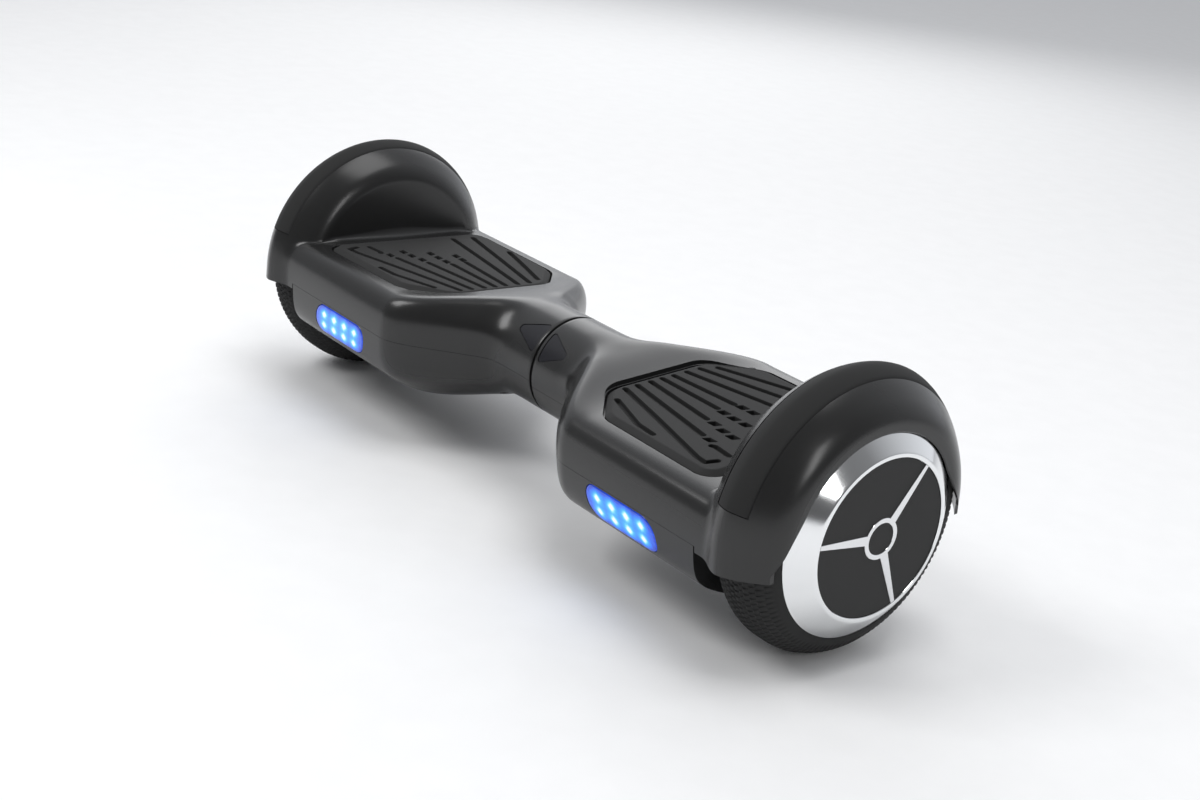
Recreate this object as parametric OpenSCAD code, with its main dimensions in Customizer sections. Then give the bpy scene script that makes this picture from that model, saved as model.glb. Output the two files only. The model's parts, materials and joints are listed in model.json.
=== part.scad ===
// Two-wheel self balancing board: two shell halves that twist about the
// axle line, each with a hub-motor wheel, a foot pad and its electronics.
// X runs along the axle (left wheel at -X), the lights face -Y, Z is up,
// and the origin is on the ground under the middle of the board.

/* [Overall] */
// Length between the outer faces of the wheel hubs
overall_length = 584; // [580:1:590]
// Radius of the tyres, which is also the height of the axle line
tyre_radius = 85; // [84.5:0.1:85.5]
// Pitch of the right half against the left half in the rest pose, degrees
rest_twist = 6; // [0:1:9]

/* [Body shells] */
// Radius of the round neck at the middle
neck_radius = 36; // [35:0.5:38]
// Half width of the body under the foot pads
body_half_width = 89; // [87:0.5:90]
// Height of the deck above the axle line
deck_height = 25.5; // [25:0.1:26]
// Depth of the belly below the axle line
belly_depth = 53; // [52:0.5:54]
// Wall thickness of the shells
shell_wall = 2.6; // [2.2:0.1:3]
// Height of the joint between top and bottom shell, from the axle line
parting_height = -6; // [-7:0.5:-5]
// Width of the gap between the two halves
neck_gap = 2; // [1.6:0.1:3]

/* [Fenders] */
// Radius of the fender at its crown
fender_radius = 95; // [94.5:0.1:96]
// Distance from the hub face to the fender wall beside the foot pad
fender_depth = 64; // [63:0.5:64]
// How far the fender skirts hang below the axle line
skirt_drop = 10; // [8:0.5:11]

/* [Foot pads] */
// Height of the foot pads above the axle line
pad_height = 27.5; // [27:0.1:28]
// How far a foot pad can be pressed down
pad_travel = 1.5; // [1:0.1:1.5]
// Width of the grooves in the foot pads
groove_width = 4.2; // [3:0.1:4.4]

/* [Wheels] */
// Width of the tyres
tyre_width = 48; // [46:0.5:48]
// Radius of the black disc in the hub
disc_radius = 50; // [48:0.5:51]
// Radius of the motor axles
axle_radius = 8; // [7:0.5:8]

/* [Hidden] */
$fn = 64;
fit = 0.02;
running = 0.05;
joint_gap = 0.2;

axle_height = tyre_radius;
hub_face = overall_length / 2;

// Stations along the axle, from the middle outwards
fender_wall = hub_face - fender_depth;
fender_face = hub_face - 5.8;
fender_crown = (fender_wall + fender_face) / 2 - 0.6;
well_start = fender_wall + shell_wall;
well_end = fender_face - shell_wall;
skirt_start = well_start + 1;
shoulder_end = fender_wall + 14;
tyre_outer = hub_face - 10;
tyre_inner = tyre_outer - tyre_width;
neck_start = neck_gap / 2;

// ---------- body section ----------
// The section is a circle at the neck. Further out it is a flat deck,
// rounded shoulders, sides that lean in a little below the axle line,
// under faces that slope in to the belly, and the belly itself.
shoulder_tilt = 48;
side_lean = 14;
side_reach = 94;
under_tilt = 62;
under_reach = 69.5;
edge_sharpness = 16;

function mix(a, b, t) = a + (b - a) * t;
function ease(a, b, x) = let (t = min(1, max(0, (x - a) / (b - a)))) t * t * (3 - 2 * t);
function sum(v) = v * [for (i = v) 1];

// Distance of each flat of the section from the axle line, at station x
function section_flats(x) =
    let (
        flare = ease(34, 108, x),
        fall = ease(45, 115, x),
        sag = ease(30, 110, x),
        shoulder = body_half_width * cos(shoulder_tilt) + deck_height * sin(shoulder_tilt) - 5.5
    )
    [
        [90, mix(34.5, deck_height, fall)],
        [shoulder_tilt, mix(neck_radius + 1, shoulder, flare)],
        [0, mix(neck_radius + 2, body_half_width + 1.5, flare)],
        [-side_lean, mix(neck_radius + 1.5, side_reach, flare)],
        [-under_tilt, mix(neck_radius + 1, under_reach, flare)],
        [-90, mix(neck_radius, belly_depth + 0.5, sag)],
    ];

function section_radius(x, angle, inset) =
    let (
        look = [abs(cos(angle)), sin(angle)],
        near = sum([for (f = section_flats(x))
            pow(max(0, look * [cos(f[0]), sin(f[0])]) / (f[1] - inset), edge_sharpness)]),
        squared = pow(near, -1 / edge_sharpness)
    )
    mix(neck_radius - inset, squared, ease(25, 60, x));

ring_points = 44;
function section_ring(x, inset) =
    [for (k = [0 : ring_points - 1])
        let (angle = 360 * k / ring_points, r = section_radius(x, angle, inset))
        [x, r * cos(angle), r * sin(angle)]];

// A solid body of the section above, from one station to another
module body_solid(inset, from_x, to_x) {
    stations = concat([from_x, 18], [for (x = [30 : 8 : 118]) x], [150, 190, to_x]);
    n = ring_points;
    last = len(stations) - 1;
    points = [for (x = stations) for (p = section_ring(x, inset)) p];
    sides = [for (i = [0 : last - 1]) for (k = [0 : n - 1])
        let (a = i * n + k, b = i * n + (k + 1) % n)
        each [[a, a + n, b + n], [a, b + n, b]]];
    caps = [
        [for (k = [0 : n - 1]) k],
        [for (k = [n - 1 : -1 : 0]) last * n + k],
    ];
    polyhedron(points, concat(sides, caps), convexity = 4);
}

// Distance of the leaning side from the axle plane, at a height near its middle
side_tilt = 11;
side_middle = -20;
function side_y(height) = body_half_width - 1.8 + (height - side_middle) * tan(side_tilt);

// ---------- placing ----------
// Every half is modelled with its wheel at +X and the axle line at Z = 0.
module right_side() {
    translate([0, 0, axle_height]) rotate([rest_twist, 0, 0]) children();
}
module left_side() {
    translate([0, 0, axle_height]) mirror([1, 0, 0]) children();
}
// Turns X, Y, Z into Y, Z, X, so that what is turned about Z lies on the axle
module about_axle() {
    rotate(a = 120, v = [1, 1, 1]) children();
}
module on_axle(from_x, to_x, radius) {
    translate([from_x, 0, 0]) rotate([0, 90, 0]) cylinder(h = to_x - from_x, r = radius);
}
module sleeve(from_x, to_x, outer, inner) {
    difference() {
        on_axle(from_x, to_x, outer);
        on_axle(from_x - 1, to_x + 1, inner);
    }
}
// Lays a flat shape on the leaning side, +Z outwards and +Y up the side
module on_front_face(x, height) {
    translate([x, -side_y(height), height]) rotate([90 + side_tilt, 0, 0]) children();
}
module on_rear_face(x, height) {
    mirror([0, 1, 0]) on_front_face(x, height) children();
}
module above_parting(height) {
    translate([0, -200, height]) cube([hub_face, 400, 200]);
}
// Room of the top shell: down to the joint, and to the skirt edges over the wheel
module upper_room() {
    translate([0, -200, parting_height + joint_gap / 2]) cube([hub_face, 400, 200]);
    translate([skirt_start, -200, -skirt_drop]) cube([hub_face, 400, 100]);
}

// ---------- fender ----------
crown_power = 1.6;
crown_drop = 0.0944;
function crown_radius(x) = fender_radius - crown_drop * pow(abs(x - fender_crown), crown_power);
function crown_slope(x) = crown_power * crown_drop * pow(abs(x - fender_crown), crown_power - 1);
function crown_inner(x, wall) = crown_radius(x) - wall * sqrt(1 + pow(crown_slope(x), 2));

crown_steps = 10;
module fender_section(from_x, to_x, wall) {
    polygon(concat(
        [[0, from_x]],
        [for (k = [0 : crown_steps])
            let (x = mix(from_x, to_x, k / crown_steps)) [crown_inner(x, wall), x]],
        [[0, to_x]]
    ));
}
// Half a turn over the wheel, carried straight down below the axle line
module fender_solid(from_x, to_x, wall, drop) {
    about_axle() {
        rotate_extrude(angle = 180, $fn = 72) fender_section(from_x, to_x, wall);
        for (side = [0, 1]) mirror([side, 0, 0])
            rotate([90, 0, 0]) linear_extrude(drop) fender_section(from_x, to_x, wall);
    }
}
// Opening of the outer flange: round over the hub, then flaring to the skirts
module flange_opening() {
    about_axle() translate([0, 0, well_end - 0.1]) {
        cylinder(h = shell_wall + 1, r1 = 65, r2 = 61.8, $fn = 72);
        linear_extrude(shell_wall + 1)
            polygon([[-56, 26], [-74, 0], [-82, -12], [82, -12], [74, 0], [56, 26]]);
    }
}

trim_start = fender_crown - 10.5;
trim_end = fender_crown + 12.5;
trim_thickness = 1.2;
trim_angle = 18;
module trim_sector(from_x, to_x, depth, lift, angle) {
    steps = 10;
    outer = [for (k = [0 : steps]) let (x = mix(from_x, to_x, k / steps)) [crown_radius(x) + lift, x]];
    inner = [for (k = [steps : -1 : 0]) let (x = mix(from_x, to_x, k / steps)) [crown_radius(x) - depth, x]];
    about_axle() rotate_extrude(angle = 180 - 2 * angle, start = angle) polygon(concat(outer, inner));
}
module fender_trim() {
    trim_sector(trim_start, trim_end, trim_thickness, 0, trim_angle);
}

// ---------- foot pad ----------
// Centre and radius of the rounding at each corner of the foot pad
pad_corners = [
    [110, 30, 21.7], [127, 48.5, 19], [206, 56.5, 12],
    [206, -56.5, 12], [127, -48.5, 19], [110, -30, 21.7],
];
module pad_outline(grow) {
    hull() for (c = pad_corners) translate([c[0], c[1]]) circle(r = c[2] + grow, $fn = 40);
}
// Grooves fan from the neck towards the fender, and the middle ones break up
grooves = [
    [[102, 41], [130, 50], [165, 60.5]],
    [[97, 30], [146, 41], [205, 54]],
    [[96.5, 19], [156, 28.5], [206, 36]],
    [[96.5, 8], [151, 11]],
    [[96, -1.5], [150, -2]],
    [[96, -11], [158, -18]],
    [[96, -22], [174, -35]],
    [[96, -32], [140, -43], [194, -57.5], [203, -58.5], [205.5, -51]],
    [[106.5, -47], [140, -58.5], [157, -60]],
    [[156.5, 11.5], [158.5, 12.5]], [[166, 12], [168, 13]],
    [[156, -3.5], [158, -2.5]], [[166, -4], [168, -3]], [[176.5, -4], [178.5, -3]],
    [[165, -19], [167, -18]], [[175.5, -21.5], [177.5, -20.5]], [[185.5, -22.5], [187.5, -21.5]],
    [[180.5, -36.5], [183, -36]], [[188.5, -40.5], [190.5, -39.5], [204, -41]],
];
pad_thickness = 6;
pad_gap = 1.3;
rim_drop = 2.7;
rim_width = 4.2;
groove_depth = 1.8;
plunger_stations = [120, 158];
plunger_radius = 4;
module groove_shapes() {
    for (g = grooves) for (i = [0 : len(g) - 2]) hull() {
        translate(g[i]) circle(d = groove_width, $fn = 10);
        translate(g[i + 1]) circle(d = groove_width, $fn = 10);
    }
}
module foot_pad() {
    difference() {
        union() {
            translate([0, 0, pad_height - pad_thickness])
                linear_extrude(pad_thickness - rim_drop) pad_outline(0);
            hull() {
                translate([0, 0, pad_height - rim_drop]) linear_extrude(0.01) pad_outline(0);
                translate([0, 0, pad_height - 0.01]) linear_extrude(0.01) pad_outline(-rim_width);
            }
        }
        translate([0, 0, pad_height - groove_depth]) linear_extrude(groove_depth + 1) groove_shapes();
    }
}
tray_top = pad_height - pad_thickness - pad_travel - 0.3;
tray_floor = 2.4;
module pad_plungers() {
    for (x = plunger_stations) translate([x, 0, 1])
        cylinder(h = pad_height - pad_thickness - 1, r = plunger_radius);
}

// ---------- shells ----------
module axle_slot(radius) {
    hull() {
        on_axle(fender_wall - 5, well_start + 5, radius);
        translate([0, 0, -40]) on_axle(fender_wall - 5, well_start + 5, radius);
    }
}
module window_shape(grow) {
    hull() {
        for (y = [-9, 9]) translate([6, y]) circle(r = 2 + grow, $fn = 24);
        translate([24, 0]) circle(r = 3 + grow, $fn = 24);
    }
}
window_angle = 50;
module window_prism(grow) {
    rotate([window_angle, 0, 0]) linear_extrude(60) window_shape(grow);
}
deck_ribs = [-52, -28, 28, 52];
module top_shell() {
    difference() {
        union() {
            difference() {
                intersection() {
                    union() {
                        body_solid(0, neck_start, shoulder_end);
                        fender_solid(fender_wall, fender_face, 0, skirt_drop + 2);
                    }
                    upper_room();
                }
                body_solid(shell_wall, neck_start - 1, fender_wall);
                fender_solid(well_start, well_end, 2.2, skirt_drop + 20);
                flange_opening();
            }
            intersection() {
                body_solid(1, neck_start + 1, fender_wall + 1);
                union() {
                    translate([0, 0, tray_top - tray_floor]) linear_extrude(20) pad_outline(pad_gap + 2);
                    for (y = deck_ribs) hull() {
                        translate([95, y, tray_top - tray_floor]) sphere(r = 1, $fn = 8);
                        translate([fender_wall, y, tray_top - tray_floor]) sphere(r = 1, $fn = 8);
                        translate([fender_wall, y, 2]) sphere(r = 1, $fn = 8);
                    }
                }
            }
        }
        translate([0, 0, tray_top]) linear_extrude(30) pad_outline(pad_gap);
        for (x = plunger_stations) translate([x, 0, 0]) cylinder(h = 30, r = plunger_radius + 0.6, $fn = 24);
        trim_sector(trim_start - 0.2, trim_end + 0.2, trim_thickness + 0.2, 5, trim_angle - 0.15, $fn = 72);
        axle_slot(14);
        difference() {
            window_prism(0.3);
            on_axle(-10, 60, neck_radius - 1.5);
        }
    }
}

// Lens in the front side, with slanted round ends
lens_centre = [163.5, -19];
lens_length = 66;
lens_height = 23;
lens_slant = 5;
lens_thickness = 3;
lens_recess = 0.5;
function lens_points(grow) =
    let (radius = lens_height / 2 - 1, reach = lens_length / 2 - radius, count = 12)
    [for (corner = [[1, 1, 0], [-1, 1, 90], [-1, -1, 180], [1, -1, 270]]) for (k = [0 : count])
        let (
            a = corner[2] + 90 * k / count,
            x = corner[0] * reach + (radius + grow) * cos(a),
            y = corner[1] + (radius + grow) * sin(a)
        )
        [x - lens_slant * y / lens_height, y]];

// Screws that join the shells to the frame, from below
screw_stations = [[52, 14], [134, 60], [200, 60]];
neck_screw_seat = -31;
belly_screw_seat = -39;
module at_screws() {
    for (s = screw_stations) for (side = [-1, 1]) translate([s[0], s[1] * side, 0]) children();
}
function screw_floor(x) = x < 100 ? neck_screw_seat : belly_screw_seat;

switch_centre = [118, side_middle];
port_centre = [158, side_middle];
switch_hole = 9.2;
port_hole = 9.2;

module bottom_shell(rear_controls) {
    difference() {
        union() {
            difference() {
                body_solid(0, neck_start, well_start);
                body_solid(shell_wall, neck_start - 1, fender_wall);
            }
            intersection() {
                body_solid(1, neck_start, fender_wall + 1);
                union() {
                    for (y = [-24, -8, 8, 24]) hull() for (x = [100, 220])
                        translate([x, y, shell_wall - belly_depth]) sphere(r = 1.4, $fn = 8);
                    for (s = screw_stations) for (side = [-1, 1]) hull() {
                        translate([s[0], s[1] * side, -belly_depth]) cylinder(h = 2, r = 9, $fn = 24);
                        translate([s[0], s[1] * side, -belly_depth])
                            cylinder(h = 6 + belly_depth + screw_floor(s[0]), r = 7, $fn = 24);
                    }
                }
            }
        }
        above_parting(parting_height - joint_gap / 2);
        on_axle(fender_wall - 5, well_start + 5, 14);
        for (s = screw_stations) for (side = [-1, 1]) translate([s[0], s[1] * side, -belly_depth - 5]) {
            cylinder(h = 40, r = 2.3, $fn = 16);
            cylinder(h = 5 + belly_depth + screw_floor(s[0]), r = 4.6, $fn = 24);
        }
        on_front_face(lens_centre[0], lens_centre[1])
            translate([0, 0, -8]) linear_extrude(12) polygon(lens_points(0.3));
        if (rear_controls) {
            on_rear_face(switch_centre[0], switch_centre[1])
                translate([0, 0, -8]) cylinder(h = 12, r = switch_hole, $fn = 32);
            on_rear_face(port_centre[0], port_centre[1])
                translate([0, 0, -8]) cylinder(h = 12, r = port_hole, $fn = 32);
        }
    }
}
module light_lens() {
    on_front_face(lens_centre[0], lens_centre[1]) translate([0, 0, -lens_thickness - lens_recess])
        linear_extrude(lens_thickness) polygon(lens_points(0));
}
led_pitch = 14;
module light_board() {
    on_front_face(lens_centre[0], lens_centre[1]) translate([0, 0, -9.9]) {
        translate([-32, -8, 0]) cube([64, 16, 1.6]);
        for (k = [-1.5 : 1.5]) for (y = [-4.5, 4.5])
            translate([k * led_pitch - 2.5, y - 1.5, 1.6]) cube([5, 3, 2]);
    }
}
module indicator_window() {
    intersection() {
        sleeve(2, 40, neck_radius - 0.1, neck_radius - 1.4);
        rotate([window_angle, 0, 0]) linear_extrude(60) {
            translate([4, -9]) square([4, 18]);
            polygon([[8, -9], [26, -1.5], [26, 1.5], [8, 9]]);
        }
    }
}

// ---------- frame ----------
plate_top = -9;
plate_bottom = -13;
boss_radius = 20;
boss_start = 12;
boss_end = 62;
post_clearance = 6.5;
plate_half_width = 62;
clamp_start = 178;
clamp_end = 222;
clamp_half_width = 22;
clamp_height = 12.5;
bolt_places = [for (x = [186, 214]) for (y = [-15, 15]) [x, y]];
bolt_radius = 2.5;
tube_radius = 10;
bush_radius = 13;
slot_start = 33;
slot_end = 41;
slot_half_angle = 31;
pin_radius = 2.5;

module frame_plate() {
    translate([50, -24, plate_bottom]) cube([50, 48, plate_top - plate_bottom]);
    translate([96, -plate_half_width, plate_bottom])
        cube([clamp_end - 96, 2 * plate_half_width, plate_top - plate_bottom]);
    for (side = [-1, 1]) {
        translate([96, side * (plate_half_width - 2) - 2, plate_bottom]) cube([clamp_end - 96, 4, 16]);
        translate([50, side * 24 - 2, plate_bottom]) cube([50, 4, 16]);
    }
}
module frame_body(boss_bore) {
    difference() {
        union() {
            frame_plate();
            on_axle(boss_start, boss_end, boss_radius);
            translate([clamp_start, -clamp_half_width, plate_bottom])
                cube([clamp_end - clamp_start, 2 * clamp_half_width, -plate_bottom]);
            for (s = screw_stations) for (side = [-1, 1])
                translate([s[0], s[1] * side, screw_floor(s[0]) + post_clearance])
                    cylinder(h = plate_bottom - screw_floor(s[0]) - post_clearance + 1, r = 5);
        }
        on_axle(boss_start - 5, boss_end + 5, boss_bore);
        on_axle(clamp_start - 1, clamp_end + 1, axle_radius + fit);
        for (b = bolt_places) translate([b[0], b[1], plate_bottom - 1]) cylinder(h = 20, r = bolt_radius + 0.1);
        at_screws() translate([0, 0, -60]) cylinder(h = 60 + plate_bottom, r = 2.05);
    }
}
module axle_clamp() {
    difference() {
        translate([clamp_start, -clamp_half_width, joint_gap])
            cube([clamp_end - clamp_start, 2 * clamp_half_width, clamp_height - joint_gap]);
        on_axle(clamp_start - 1, clamp_end + 1, axle_radius + fit);
        for (b = bolt_places) translate([b[0], b[1], -1]) cylinder(h = 20, r = bolt_radius + 0.1);
    }
}
module clamp_bolts() {
    for (b = bolt_places) translate([b[0], b[1], 0]) difference() {
        union() {
            translate([0, 0, plate_bottom]) cylinder(h = clamp_height - plate_bottom, r = bolt_radius);
            translate([0, 0, clamp_height]) cylinder(h = 3.4, r = 4.2);
        }
        translate([0, 0, clamp_height + 1.2]) cylinder(h = 3, r = 2.2, $fn = 6);
    }
}
module shell_screws() {
    for (s = screw_stations) for (side = [-1, 1]) translate([s[0], s[1] * side, screw_floor(s[0])]) {
        difference() {
            union() {
                translate([0, 0, -3]) cylinder(h = 3, r = 4.2);
                cylinder(h = 16, r = 2);
            }
            for (turn = [0, 90]) rotate([0, 0, turn]) translate([-2, -0.5, -4]) cube([4, 1, 2.2]);
        }
    }
}
module gyro_board() {
    translate([100, -34, plate_top + 2]) difference() {
        union() {
            cube([70, 68, 1.6]);
            translate([38, 18, 1.6]) cube([12, 12, 2]);
            translate([10, 8, 1.6]) cube([8, 5, 4]);
            translate([10, 48, 1.6]) cube([14, 6, 3]);
            for (x = plunger_stations) for (side = [-1, 1])
                translate([x - 102, 34 + side * 7.5 - 2, 1.6]) cube([4, 4, 6]);
        }
        for (x = plunger_stations) translate([x - 100, 34, -1]) cylinder(h = 10, r = plunger_radius + 1);
    }
    for (x = [106, 164]) for (y = [-28, 28]) translate([x, y, plate_top]) cylinder(h = 2, r = 3);
}

// ---------- wheel and motor ----------
axle_start = clamp_start;
axle_end = tyre_outer - 6;
cable_bore = 4;
stator_start = tyre_inner + 11;
stator_end = tyre_outer - 13;
stator_radius = 55.5;
slots = 27;
magnet_count = 30;
magnet_inner = 56.2;
rim_bore = 59.2;
rim_radius = 66;
bearing_outer = 16;
bearing_width = 9;
shoulder = 21;

module turned(profile) {
    about_axle() rotate_extrude() polygon(profile);
}
module axle() {
    difference() {
        union() {
            on_axle(axle_start, axle_end, axle_radius);
            on_axle(stator_start - 2, stator_start, 13);
        }
        on_axle(axle_start - 1, stator_start - 12, cable_bore);
        translate([stator_start - 16, 0, 0]) rotate([0, 45, 0]) cylinder(h = 20, r = 2.5);
    }
}
module stator() {
    difference() {
        on_axle(stator_start, stator_end, stator_radius);
        on_axle(stator_start - 1, stator_end + 1, axle_radius + fit);
        for (k = [0 : slots - 1]) rotate([360 * k / slots, 0, 0])
            translate([stator_start - 1, -2.8, 31]) cube([stator_end - stator_start + 2, 5.6, 21]);
        for (k = [0 : slots - 1]) rotate([360 * k / slots, 0, 0])
            translate([stator_start - 1, -0.8, 50]) cube([stator_end - stator_start + 2, 1.6, 8]);
    }
}
module windings() {
    for (k = [0 : slots - 1]) rotate([360 * k / slots, 0, 0])
        translate([stator_start - 3, -2.6, 31.3]) cube([stator_end - stator_start + 6, 5.2, 20.4]);
}
module magnets() {
    step = 360 / magnet_count;
    for (k = [0 : magnet_count - 1]) about_axle()
        rotate_extrude(angle = step - 2, start = k * step)
            translate([magnet_inner, stator_start - 1])
                square([rim_bore - fit - magnet_inner, stator_end - stator_start + 2]);
}
function arc(centre, radius, from, to, n = 8) =
    [for (k = [0 : n]) let (a = mix(from, to, k / n)) centre + radius * [cos(a), sin(a)]];
module tyre() {
    seat = rim_radius + fit;
    crown = tyre_radius - shoulder;
    turned(concat(
        [[seat, tyre_inner + 3], [crown - 0.5, tyre_inner]],
        arc([crown, tyre_inner + shoulder], shoulder, -90, 0),
        arc([crown, tyre_outer - shoulder], shoulder, 0, 80),
        [[cover_radius + 0.25, tyre_outer - 1.1], [seat, tyre_outer - 1.1]]
    ));
}
module rim() {
    plate = tyre_outer - 5;
    turned([
        [rim_bore, tyre_inner + 3], [rim_radius, tyre_inner + 3], [rim_radius, plate + 3.5],
        [bearing_outer + fit, plate + 3.5], [bearing_outer + fit, plate - 7],
        [24, plate - 7], [30, plate], [rim_bore, plate],
    ]);
}
module motor_cover() {
    turned([
        [rim_radius - 3, tyre_inner], [rim_radius - 3, tyre_inner + 3 - fit],
        [rim_bore - fit, tyre_inner + 3 - fit], [rim_bore - fit, tyre_inner + 5], [24, tyre_inner + 5],
        [20, tyre_inner + 9.5], [bearing_outer + fit, tyre_inner + 9.5],
        [bearing_outer + fit, tyre_inner - 0.5], [20, tyre_inner - 0.5], [26, tyre_inner],
    ]);
}
module bearing(from_x) {
    sleeve(from_x, from_x + bearing_width, bearing_outer, axle_radius + running);
}
module bearings() {
    bearing(tyre_inner - 0.3);
    bearing(tyre_outer - 5 - 7 + 0.3);
}
// The chrome cover is a cone from the tyre to a narrow lip round the disc
lip_radius = disc_radius + 2.75;
cover_radius = rim_radius + 1.3;
cover_back = tyre_outer - 0.8;
module rim_cover() {
    turned([
        [disc_radius + 0.1, hub_face], [lip_radius, hub_face], [cover_radius, tyre_outer - 0.3],
        [cover_radius, cover_back], [cover_radius - 6, cover_back], [lip_radius - 1, hub_face - 4],
        [lip_radius - 1, cover_back], [disc_radius - 4, cover_back],
        [disc_radius - 4, hub_face - 4], [disc_radius + 0.1, hub_face - 4],
    ]);
}
disc_face = hub_face - 0.6;
spoke_angles = [50, 170, 290];
hub_ring_outer = 13.1;
hub_ring_inner = 10;
module hub_disc() {
    on_axle(disc_face - 3.2, disc_face, disc_radius);
}
module hub_spokes() {
    about_axle() translate([0, 0, disc_face]) linear_extrude(hub_face - disc_face) {
        difference() {
            circle(r = hub_ring_outer);
            circle(r = hub_ring_inner);
        }
        for (a = spoke_angles) rotate(a)
            polygon([[hub_ring_outer - 1, -3.1], [disc_radius, -1.5], [disc_radius, 1.5], [hub_ring_outer - 1, 3.1]]);
    }
}

// ---------- pivot ----------
tube_reach = 66;
tube_bore = 7;
circlip_start = boss_end + 0.8;
module pivot_tube() {
    difference() {
        on_axle(-tube_reach, tube_reach, tube_radius);
        on_axle(-tube_reach - 1, tube_reach + 1, tube_bore);
        sleeve(circlip_start - 0.1, circlip_start + 1.6, tube_radius + 1, tube_radius - 1.2);
        translate([(slot_start + slot_end) / 2, 0, 0]) cylinder(h = 20, r = pin_radius);
    }
}
module twist_stop_pin() {
    translate([(slot_start + slot_end) / 2, 0, tube_bore + 0.4]) cylinder(h = boss_radius - 1 - tube_bore, r = pin_radius);
}
module pivot_bushes() {
    sleeve(boss_start - 1.5, boss_start, 16, tube_radius + running);
    sleeve(boss_start, slot_start - 2, bush_radius, tube_radius + running);
    sleeve(slot_end + 2, boss_end, bush_radius, tube_radius + running);
}
module stop_slot() {
    about_axle() translate([0, 0, slot_start]) rotate(90 - slot_half_angle)
        rotate_extrude(angle = 2 * slot_half_angle) translate([bush_radius - 5, 0]) square([20, slot_end - slot_start]);
}
module pivot_circlip() {
    difference() {
        sleeve(circlip_start, circlip_start + 1.5, 13, tube_radius - 1.1);
        translate([circlip_start - 1, -2.5, -20]) cube([4, 5, 20]);
    }
}
module neck_seal() {
    sleeve(-neck_start, neck_start - 0.4, 34.3, 24);
}
module power_harness() {
    on_axle(-98, 84, 4.5);
    translate([-112, -7, -4.8]) cube([14, 14, 10.8]);
    translate([84, -6, -5]) cube([12, 12, 10]);
}

// ---------- electronics ----------
module battery_pack() {
    // Starts where the belly has flared wide enough for its lower corners
    translate([97, -41, -47]) difference() {
        cube([113, 82, 31]);
        for (x = [28, 56, 84]) translate([x - 1, -1, 30]) cube([2, 84, 2]);
    }
}
module main_board() {
    translate([100, -40, -38]) {
        cube([108, 80, 2]);
        for (k = [0 : 8]) translate([4 + 12.5 * k, 4, -6]) cube([2, 72, 6.5]);
        translate([0, 0, 1.9]) cube([108, 80, 2.1]);
        for (x = [12, 32, 52]) translate([x, 16, 3.9]) cylinder(h = 14, r = 6);
        for (k = [0 : 5]) translate([12 + 15 * k, 56, 3.9]) cube([10, 4, 14]);
        translate([76, 14, 3.9]) cube([16, 16, 2.5]);
    }
}
module rear_switch() {
    on_rear_face(switch_centre[0], switch_centre[1]) children();
}
button_radius = 7;
button_travel = 1.5;
module power_button() {
    rear_switch() {
        translate([0, 0, -2]) cylinder(h = 4, r = button_radius);
        translate([0, 0, -9]) cylinder(h = 8, r = 2);
    }
}
module power_switch_body() {
    rear_switch() difference() {
        union() {
            translate([0, 0, -14]) cylinder(h = 15, r = switch_hole - 0.2);
            translate([0, 0, 0.2]) cylinder(h = 1.4, r = switch_hole + 1.6);
        }
        translate([0, 0, -4]) cylinder(h = 8, r = button_radius + 0.2);
        translate([0, 0, -11]) cylinder(h = 9, r = 2.3);
    }
}
module rear_port() {
    on_rear_face(port_centre[0], port_centre[1]) children();
}
socket_radius = 6.5;
flange_radius = 10.8;
flange_top = 1.6;
hinge_y = 12.6;
hinge_z = 2.4;
module charge_port() {
    rear_port() {
        difference() {
            union() {
                translate([0, 0, -15]) cylinder(h = 16, r = port_hole - 0.2);
                translate([0, 0, 0.2]) cylinder(h = flange_top - 0.2, r = flange_radius);
                for (side = [-1, 1]) translate([side * 4.5 - 1, 0, 0.2]) {
                    translate([0, 8, 0]) cube([2, hinge_y - 8 + 1.6, flange_top - 0.2]);
                    translate([0, 10.6, 0]) cube([2, hinge_y - 10.6 + 1.6, 3.8]);
                }
            }
            translate([0, 0, -11]) cylinder(h = 20, r = socket_radius);
        }
        for (a = [90, 210, 330]) rotate(a) translate([3.4, 0, -12]) cylinder(h = 4.5, r = 1.1);
        translate([-4.5, hinge_y, hinge_z]) rotate([0, 90, 0]) cylinder(h = 9, r = 0.8);
    }
}
module charge_port_cap() {
    rear_port() difference() {
        union() {
            translate([0, 0, flange_top + 0.2]) cylinder(h = 1.8, r = flange_radius - 0.6);
            translate([0, 0, -1.6]) cylinder(h = 4, r = socket_radius - 0.3);
            translate([-3.2, 5, flange_top + 0.2]) cube([6.4, hinge_y - 5, 1.2]);
            translate([-3.2, hinge_y, hinge_z]) rotate([0, 90, 0]) cylinder(h = 6.4, r = 1.5);
        }
        translate([-5, hinge_y, hinge_z]) rotate([0, 90, 0]) cylinder(h = 10, r = 0.8 + running);
    }
}

// ---------- the two halves ----------
module left_top_shell() { color("#1d1d1f") left_side() top_shell(); }
module right_top_shell() { color("#1d1d1f") right_side() top_shell(); }
module left_bottom_shell() { color("#1b1b1d") left_side() bottom_shell(rear_controls = true); }
module right_bottom_shell() { color("#1b1b1d") right_side() bottom_shell(rear_controls = false); }
module left_fender_trim() { color("#161616") left_side() fender_trim(); }
module right_fender_trim() { color("#161616") right_side() fender_trim(); }
module left_axle_clamp() { color("#8a8c90") left_side() axle_clamp(); }
module right_axle_clamp() { color("#8a8c90") right_side() axle_clamp(); }
module left_clamp_bolts() { color("#303236") left_side() clamp_bolts(); }
module right_clamp_bolts() { color("#303236") right_side() clamp_bolts(); }
module left_shell_screws() { color("#222222") left_side() shell_screws(); }
module right_shell_screws() { color("#222222") right_side() shell_screws(); }
module left_light_lens() { color("#2a7cff") left_side() light_lens(); }
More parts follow.
